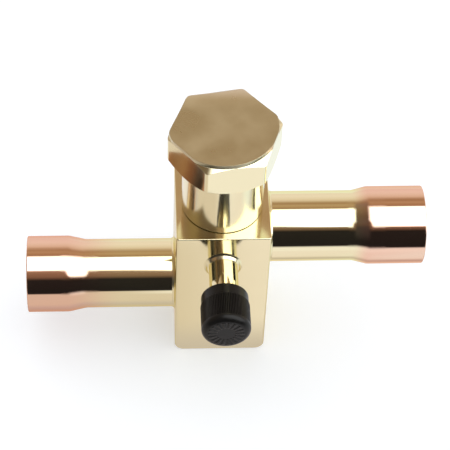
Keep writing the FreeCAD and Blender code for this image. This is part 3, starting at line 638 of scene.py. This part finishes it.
def turn_point(point):
    """Where a point of the cap's top or slope goes when its top is turned off centre."""
    out, direction = math.hypot(point.x, point.y), math.atan2(point.y, point.x)
    side, _ = hexagon_reach(direction)
    if point.z > CAP_TOP - LIP_HEIGHT / 2:
        worn = side - REAR_WEAR * max(math.sin(direction), 0.0)
        out, height = min(turned_reach(direction) - LIP_DRAFT, worn), point.z
    else:
        start = min(turned_reach(direction), side)
        share = min((out - HALF_FLATS) / max(side - HALF_FLATS, POINT_TOLERANCE), 1.0)
        out = start + share * (side - start)
        level = Vector((out * math.cos(direction), out * math.sin(direction), 0))
        drop = max((level - TURNED_CENTRE).length - TURNED_RADIUS, 0.0) * TURNED_SLOPE
        height = CAP_TOP - LIP_HEIGHT - drop
    return Vector((out * math.cos(direction), out * math.sin(direction), height))


def turned_normal(point, normal):
    """Which way the cap's surface faces at a moved point, from how far up it faced before."""
    direction = math.atan2(point.y, point.x)
    side, facing = hexagon_reach(direction)
    if normal.z < LIP_TILT and turned_reach(direction) - LIP_DRAFT >= side:
        return Vector((math.cos(facing), math.sin(facing), 0))
    level = (Vector((point.x, point.y, 0)) - TURNED_CENTRE).normalized()
    return level * math.sqrt(1 - normal.z ** 2) + Vector((0, 0, normal.z))


def is_turned(point):
    """Whether a point of the cap lies at its top or on its slope."""
    out = math.hypot(point.x, point.y)
    slope = CAP_TOP - LIP_HEIGHT - (out - HALF_FLATS) * TURNED_SLOPE
    on_slope = out > HALF_FLATS - POINT_TOLERANCE and abs(point.z - slope) < SLOPE_TOLERANCE
    return point.z > CAP_TOP - POINT_TOLERANCE or on_slope


def turn_cap_top():
    """A copy of the seal cap whose lip and slope lie off centre, as on the real one."""
    mesh = frame["nodes"]["seal_cap"].data.copy()
    normals = [corner.vector.copy() for corner in mesh.corner_normals]
    turned = {vertex.index for vertex in mesh.vertices if is_turned(vertex.co)}
    for index in turned:
        mesh.vertices[index].co = turn_point(mesh.vertices[index].co)
    for loop in mesh.loops:
        normal = normals[loop.index]
        if loop.vertex_index in turned and TILT_LOW < normal.z < TILT_HIGH:
            normals[loop.index] = turned_normal(mesh.vertices[loop.vertex_index].co, normal)
    mesh.normals_split_custom_set(normals)
    cap = add_object("seal_cap_turned", mesh)
    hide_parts("seal_cap")
    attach(cap, "seal_cap")


def add_camera():
    """The photograph's camera."""
    e, psi, rho = CAMERA_ELEVATION, CAMERA_AZIMUTH, CAMERA_ROLL
    level_right = Vector((math.cos(psi), -math.sin(psi), 0))
    level_up = Vector((math.sin(e) * math.sin(psi), math.sin(e) * math.cos(psi), math.cos(e)))
    forward = Vector((math.cos(e) * math.sin(psi), math.cos(e) * math.cos(psi), -math.sin(e)))
    right = math.cos(rho) * level_right + math.sin(rho) * level_up
    up = math.cos(rho) * level_up - math.sin(rho) * level_right
    aim = AIM_RIGHT * right + AIM_UP * up
    place = aim - CAMERA_DISTANCE * forward + Vector((0, 0, AIM_HEIGHT))
    data = bpy.data.cameras.new("camera")
    data.sensor_width = SENSOR_WIDTH
    data.lens = LENS_PER_WIDTH * SENSOR_WIDTH
    camera = add_object("camera", data)
    turn = Matrix((right, up, -forward)).transposed()
    camera.matrix_world = Matrix.Translation(place) @ turn.to_4x4()
    bpy.context.scene.camera = camera


def overhead(tree, side, share):
    """Where the softbox hangs: 1 between its front and back edges, 0 outside them."""
    front, back = (tree.ramp(side, [(at, (degrees / HALF_TURN,) * 3) for at, degrees in edge])
                   for edge in (SOFTBOX_FRONT, SOFTBOX_BACK))
    blur = SOFTBOX_BLUR / HALF_TURN
    past_front = tree.step(tree.math("SUBTRACT", share, front), -blur, blur)
    short_of_back = tree.step(tree.math("SUBTRACT", back, share), -blur, blur)
    return tree.times(past_front, short_of_back)


def room_colour(tree, way):
    """The room in the direction way: bands of colour by height, and a softbox overhead."""
    side, ahead, up = tree.parts(way)
    toward = tree.times(ahead, -1.0)
    angle = tree.math("DEGREES", tree.math("ARCTAN2", tree.math("MAXIMUM", up, 0.0), toward))
    share = tree.math("DIVIDE", angle, HALF_TURN)
    middle, left, far_left = (
        tree.ramp(share, [(degrees / HALF_TURN, colour) for degrees, colour in room])
        for room in (ROOM, LEFT_ROOM, FAR_LEFT_ROOM))
    left = tree.blend(tree.step(side, *FAR_LEFT_BLEND), far_left, left)
    past_left = tree.step(side, *LEFT_ROOM_BLEND)
    walls = tree.blend(past_left, left, middle)
    return tree.blend(tree.times(overhead(tree, side, share), past_left), walls, SOFTBOX)


def add_room():
    """The world: the coloured room where polished metal mirrors it, and white for all else."""
    world = bpy.data.worlds.new("room")
    bpy.context.scene.world = world
    world.use_nodes = True
    world.node_tree.nodes.clear()
    tree = Tree(world.node_tree)
    way = tree.add("ShaderNodeTexCoord").outputs["Generated"]
    mirrored = tree.add("ShaderNodeLightPath").outputs["Is Glossy Ray"]
    room = tree.add("ShaderNodeBackground", Color=room_colour(tree, way)).outputs[0]
    white = tree.add("ShaderNodeBackground", Color=(*WHITE, 1)).outputs[0]
    tree.add("ShaderNodeOutputWorld", Surface=tree.mix_shaders(mirrored, white, room))


def table_colour(tree, place):
    """The floor as the metal mirrors it: painted light and shade on a table."""
    across, along, _ = tree.parts(place)
    front = tree.times(tree.step(along, *FRONT_ALONG), tree.step(across, *FRONT_ACROSS))
    # A painted pool of light
    light_pool = tree.step(tree.dot(place, LIGHT_POOL_WAY), *LIGHT_POOL_FADE)
    back = tree.times(tree.step(along, *BACK_ALONG), tree.step(across, *BACK_ACROSS))
    # The lower tube's painted shadow on the table
    tube_shadow = tree.times(tree.within(along, *TUBE_SHADOW_ALONG),
                            tree.within(across, *TUBE_SHADOW_ACROSS))
    # A painted shadow before the block's foot
    foot_shadow = tree.times(tree.step(along, *BEFORE_FOOT), tree.step(along, *BEHIND_FOOT))
    level = tree.blend(tree.step(across, *RIGHT_ACROSS), FLOOR_LEFT, FLOOR_RIGHT)
    for patch, colour in ((front, FLOOR_FRONT), (light_pool, FLOOR_LIGHT_POOL), (back, FLOOR_BACK),
                          (tube_shadow, FLOOR_TUBE_SHADOW), (foot_shadow, FLOOR_FOOT_SHADOW)):
        level = tree.blend(patch, level, colour)
    return tree.blend(tree.step(along, *TABLE_ALONG), FLOOR_BEYOND, level)


def floor_material():
    """A lit table where polished metal mirrors it, and glowing white paper for all else."""
    material = bpy.data.materials.new("floor_white")
    material.use_nodes = True
    material.node_tree.nodes.clear()
    tree = Tree(material.node_tree)
    mirrored = tree.add("ShaderNodeLightPath").outputs["Is Glossy Ray"]
    place = tree.add("ShaderNodeNewGeometry").outputs["Position"]
    table = tree.add("ShaderNodeEmission", Color=table_colour(tree, place)).outputs[0]
    glow = tree.add("ShaderNodeEmission", Strength=FLOOR_GLOW).outputs[0]
    white = tree.add("ShaderNodeBsdfDiffuse", Color=(*FLOOR_MATT, 1)).outputs[0]
    paper = tree.add("ShaderNodeAddShader")
    tree.feed(paper.inputs[0], glow)
    tree.feed(paper.inputs[1], white)
    shown = tree.mix_shaders(mirrored, paper.outputs[0], table)
    tree.add("ShaderNodeOutputMaterial", Surface=shown)
    return material


def add_floor():
    """The floor under the valve, which isn't a piece of it."""
    half = FLOOR_SIZE / 2
    mesh = bpy.data.meshes.new("floor")
    corners = [(-half, -half, 0), (half, -half, 0), (half, half, 0), (-half, half, 0)]
    mesh.from_pydata(corners, [], [(0, 1, 2, 3)])
    mesh.materials.append(floor_material())
    floor = add_object("floor", mesh)


bpy.context.scene.view_settings.view_transform = "Standard"
dress_frame()
shorten_spring()
turn_cap_top()
add_room()
add_floor()
add_camera()
